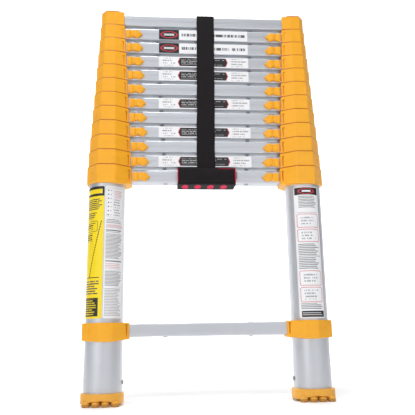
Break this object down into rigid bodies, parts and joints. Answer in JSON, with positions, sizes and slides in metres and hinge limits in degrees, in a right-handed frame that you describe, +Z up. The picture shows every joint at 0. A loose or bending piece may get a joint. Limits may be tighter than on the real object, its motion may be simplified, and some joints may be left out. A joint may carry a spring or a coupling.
{
  "type": "telescoping ladder",
  "caption": "Telescoping ladder, collapsed, with nested tubes that slide out rung by rung, thumb latches, capped tops, grip sleeve and rubber feet.",
  "frame": {"origin": "on the floor midway between the two feet, on the middle plane of the rungs", "axes": "+Z up the ladder, +X to the right seen from the front, -Y towards the user"},
  "size_m": [0.482, 0.084, 0.81],
  "materials": {
    "aluminium": "satin extruded aluminium",
    "yellow_plastic": "moulded nylon",
    "foot_plastic": "tough moulded plastic with a soft tread",
    "steel": "zinc plated steel",
    "nylon": "black moulded nylon",
    "webbing": "woven black webbing",
    "sleeve_fabric": "padded black fabric"
  },
  "bodies": {
    "base": {"s01_stile_left": "aluminium", "s01_stile_right": "aluminium", "s01_bottom_rung": "aluminium", "s01_rung": "aluminium", "s01_spring_blocks": "nylon", "s01_rivets": "steel", "s01_bottom_collars": "yellow_plastic", "s01_collars": "yellow_plastic", "s01_foot_left": "foot_plastic", "s01_foot_right": "foot_plastic", "s01_foot_screws": "steel", "s01_grip_sleeve": "sleeve_fabric"},
    "section_02": {"s02_frame": "aluminium", "s02_collars": "yellow_plastic"},
    "section_03": {"s03_frame": "aluminium", "s03_collars": "yellow_plastic"},
    "section_04": {"s04_frame": "aluminium", "s04_collars": "yellow_plastic"},
    "section_05": {"s05_frame": "aluminium", "s05_collars": "yellow_plastic"},
    "section_06": {"s06_frame": "aluminium", "s06_collars": "yellow_plastic"},
    "section_07": {"s07_frame": "aluminium", "s07_collars": "yellow_plastic"},
    "section_08": {"s08_frame": "aluminium", "s08_collars": "yellow_plastic"},
    "section_09": {"s09_frame": "aluminium", "s09_collars": "yellow_plastic"},
    "section_10": {"s10_frame": "aluminium", "s10_collars": "yellow_plastic"},
    "section_11": {"s11_frame": "aluminium", "s11_collars": "yellow_plastic"},
    "section_12": {"s12_frame": "aluminium", "s12_caps": "yellow_plastic", "s12_strap": "webbing"},
    "latch_01_left": {"s01_latch_left": "yellow_plastic"},
    "latch_01_right": {"s01_latch_right": "yellow_plastic"},
    "latch_02_left": {"s02_latch_left": "yellow_plastic"},
    "latch_02_right": {"s02_latch_right": "yellow_plastic"},
    "latch_03_left": {"s03_latch_left": "yellow_plastic"},
    "latch_03_right": {"s03_latch_right": "yellow_plastic"},
    "latch_04_left": {"s04_latch_left": "yellow_plastic"},
    "latch_04_right": {"s04_latch_right": "yellow_plastic"},
    "latch_05_left": {"s05_latch_left": "yellow_plastic"},
    "latch_05_right": {"s05_latch_right": "yellow_plastic"},
    "latch_06_left": {"s06_latch_left": "yellow_plastic"},
    "latch_06_right": {"s06_latch_right": "yellow_plastic"},
    "latch_07_left": {"s07_latch_left": "yellow_plastic"},
    "latch_07_right": {"s07_latch_right": "yellow_plastic"},
    "latch_08_left": {"s08_latch_left": "yellow_plastic"},
    "latch_08_right": {"s08_latch_right": "yellow_plastic"},
    "latch_09_left": {"s09_latch_left": "yellow_plastic"},
    "latch_09_right": {"s09_latch_right": "yellow_plastic"},
    "latch_10_left": {"s10_latch_left": "yellow_plastic"},
    "latch_10_right": {"s10_latch_right": "yellow_plastic"},
    "latch_11_left": {"s11_latch_left": "yellow_plastic"},
    "latch_11_right": {"s11_latch_right": "yellow_plastic"}
  },
  "joints": [
    {"name": "section_02_slide", "type": "slide", "parent": "base", "child": "section_02", "axis": [0, 0, 1], "range_m": [0, 0.2733]},
    {"name": "section_03_slide", "type": "slide", "parent": "section_02", "child": "section_03", "axis": [0, 0, 1], "range_m": [0, 0.2733]},
    {"name": "section_04_slide", "type": "slide", "parent": "section_03", "child": "section_04", "axis": [0, 0, 1], "range_m": [0, 0.2733]},
    {"name": "section_05_slide", "type": "slide", "parent": "section_04", "child": "section_05", "axis": [0, 0, 1], "range_m": [0, 0.2733]},
    {"name": "section_06_slide", "type": "slide", "parent": "section_05", "child": "section_06", "axis": [0, 0, 1], "range_m": [0, 0.2733]},
    {"name": "section_07_slide", "type": "slide", "parent": "section_06", "child": "section_07", "axis": [0, 0, 1], "range_m": [0, 0.2733]},
    {"name": "section_08_slide", "type": "slide", "parent": "section_07", "child": "section_08", "axis": [0, 0, 1], "range_m": [0, 0.2733]},
    {"name": "section_09_slide", "type": "slide", "parent": "section_08", "child": "section_09", "axis": [0, 0, 1], "range_m": [0, 0.2733]},
    {"name": "section_10_slide", "type": "slide", "parent": "section_09", "child": "section_10", "axis": [0, 0, 1], "range_m": [0, 0.2733]},
    {"name": "section_11_slide", "type": "slide", "parent": "section_10", "child": "section_11", "axis": [0, 0, 1], "range_m": [0, 0.2733]},
    {"name": "section_12_slide", "type": "slide", "parent": "section_11", "child": "section_12", "axis": [0, 0, 1], "range_m": [0, 0.2733]},
    {"name": "latch_01_left_slide", "type": "slide", "parent": "base", "child": "latch_01_left", "axis": [-1, 0, 0], "range_m": [-0.008, 0.0018], "stiffness_N_per_m": 250, "springref_m": 0.0018},
    {"name": "latch_01_right_slide", "type": "slide", "parent": "base", "child": "latch_01_right", "axis": [1, 0, 0], "range_m": [-0.008, 0.0018], "stiffness_N_per_m": 250, "springref_m": 0.0018},
    {"name": "latch_02_left_slide", "type": "slide", "parent": "section_02", "child": "latch_02_left", "axis": [-1, 0, 0], "range_m": [-0.008, 0.0018], "stiffness_N_per_m": 250, "springref_m": 0.0018},
    {"name": "latch_02_right_slide", "type": "slide", "parent": "section_02", "child": "latch_02_right", "axis": [1, 0, 0], "range_m": [-0.008, 0.0018], "stiffness_N_per_m": 250, "springref_m": 0.0018},
    {"name": "latch_03_left_slide", "type": "slide", "parent": "section_03", "child": "latch_03_left", "axis": [-1, 0, 0], "range_m": [-0.008, 0.0018], "stiffness_N_per_m": 250, "springref_m": 0.0018},
    {"name": "latch_03_right_slide", "type": "slide", "parent": "section_03", "child": "latch_03_right", "axis": [1, 0, 0], "range_m": [-0.008, 0.0018], "stiffness_N_per_m": 250, "springref_m": 0.0018},
    {"name": "latch_04_left_slide", "type": "slide", "parent": "section_04", "child": "latch_04_left", "axis": [-1, 0, 0], "range_m": [-0.008, 0.0018], "stiffness_N_per_m": 250, "springref_m": 0.0018},
    {"name": "latch_04_right_slide", "type": "slide", "parent": "section_04", "child": "latch_04_right", "axis": [1, 0, 0], "range_m": [-0.008, 0.0018], "stiffness_N_per_m": 250, "springref_m": 0.0018},
    {"name": "latch_05_left_slide", "type": "slide", "parent": "section_05", "child": "latch_05_left", "axis": [-1, 0, 0], "range_m": [-0.008, 0.0018], "stiffness_N_per_m": 250, "springref_m": 0.0018},
    {"name": "latch_05_right_slide", "type": "slide", "parent": "section_05", "child": "latch_05_right", "axis": [1, 0, 0], "range_m": [-0.008, 0.0018], "stiffness_N_per_m": 250, "springref_m": 0.0018},
    {"name": "latch_06_left_slide", "type": "slide", "parent": "section_06", "child": "latch_06_left", "axis": [-1, 0, 0], "range_m": [-0.008, 0.0018], "stiffness_N_per_m": 250, "springref_m": 0.0018},
    {"name": "latch_06_right_slide", "type": "slide", "parent": "section_06", "child": "latch_06_right", "axis": [1, 0, 0], "range_m": [-0.008, 0.0018], "stiffness_N_per_m": 250, "springref_m": 0.0018},
    {"name": "latch_07_left_slide", "type": "slide", "parent": "section_07", "child": "latch_07_left", "axis": [-1, 0, 0], "range_m": [-0.008, 0.0018], "stiffness_N_per_m": 250, "springref_m": 0.0018},
    {"name": "latch_07_right_slide", "type": "slide", "parent": "section_07", "child": "latch_07_right", "axis": [1, 0, 0], "range_m": [-0.008, 0.0018], "stiffness_N_per_m": 250, "springref_m": 0.0018},
    {"name": "latch_08_left_slide", "type": "slide", "parent": "section_08", "child": "latch_08_left", "axis": [-1, 0, 0], "range_m": [-0.008, 0.0018], "stiffness_N_per_m": 250, "springref_m": 0.0018},
    {"name": "latch_08_right_slide", "type": "slide", "parent": "section_08", "child": "latch_08_right", "axis": [1, 0, 0], "range_m": [-0.008, 0.0018], "stiffness_N_per_m": 250, "springref_m": 0.0018},
    {"name": "latch_09_left_slide", "type": "slide", "parent": "section_09", "child": "latch_09_left", "axis": [-1, 0, 0], "range_m": [-0.008, 0.0018], "stiffness_N_per_m": 250, "springref_m": 0.0018},
    {"name": "latch_09_right_slide", "type": "slide", "parent": "section_09", "child": "latch_09_right", "axis": [1, 0, 0], "range_m": [-0.008, 0.0018], "stiffness_N_per_m": 250, "springref_m": 0.0018},
    {"name": "latch_10_left_slide", "type": "slide", "parent": "section_10", "child": "latch_10_left", "axis": [-1, 0, 0], "range_m": [-0.008, 0.0018], "stiffness_N_per_m": 250, "springref_m": 0.0018},
    {"name": "latch_10_right_slide", "type": "slide", "parent": "section_10", "child": "latch_10_right", "axis": [1, 0, 0], "range_m": [-0.008, 0.0018], "stiffness_N_per_m": 250, "springref_m": 0.0018},
    {"name": "latch_11_left_slide", "type": "slide", "parent": "section_11", "child": "latch_11_left", "axis": [-1, 0, 0], "range_m": [-0.008, 0.0018], "stiffness_N_per_m": 250, "springref_m": 0.0018},
    {"name": "latch_11_right_slide", "type": "slide", "parent": "section_11", "child": "latch_11_right", "axis": [1, 0, 0], "range_m": [-0.008, 0.0018], "stiffness_N_per_m": 250, "springref_m": 0.0018}
  ]
}
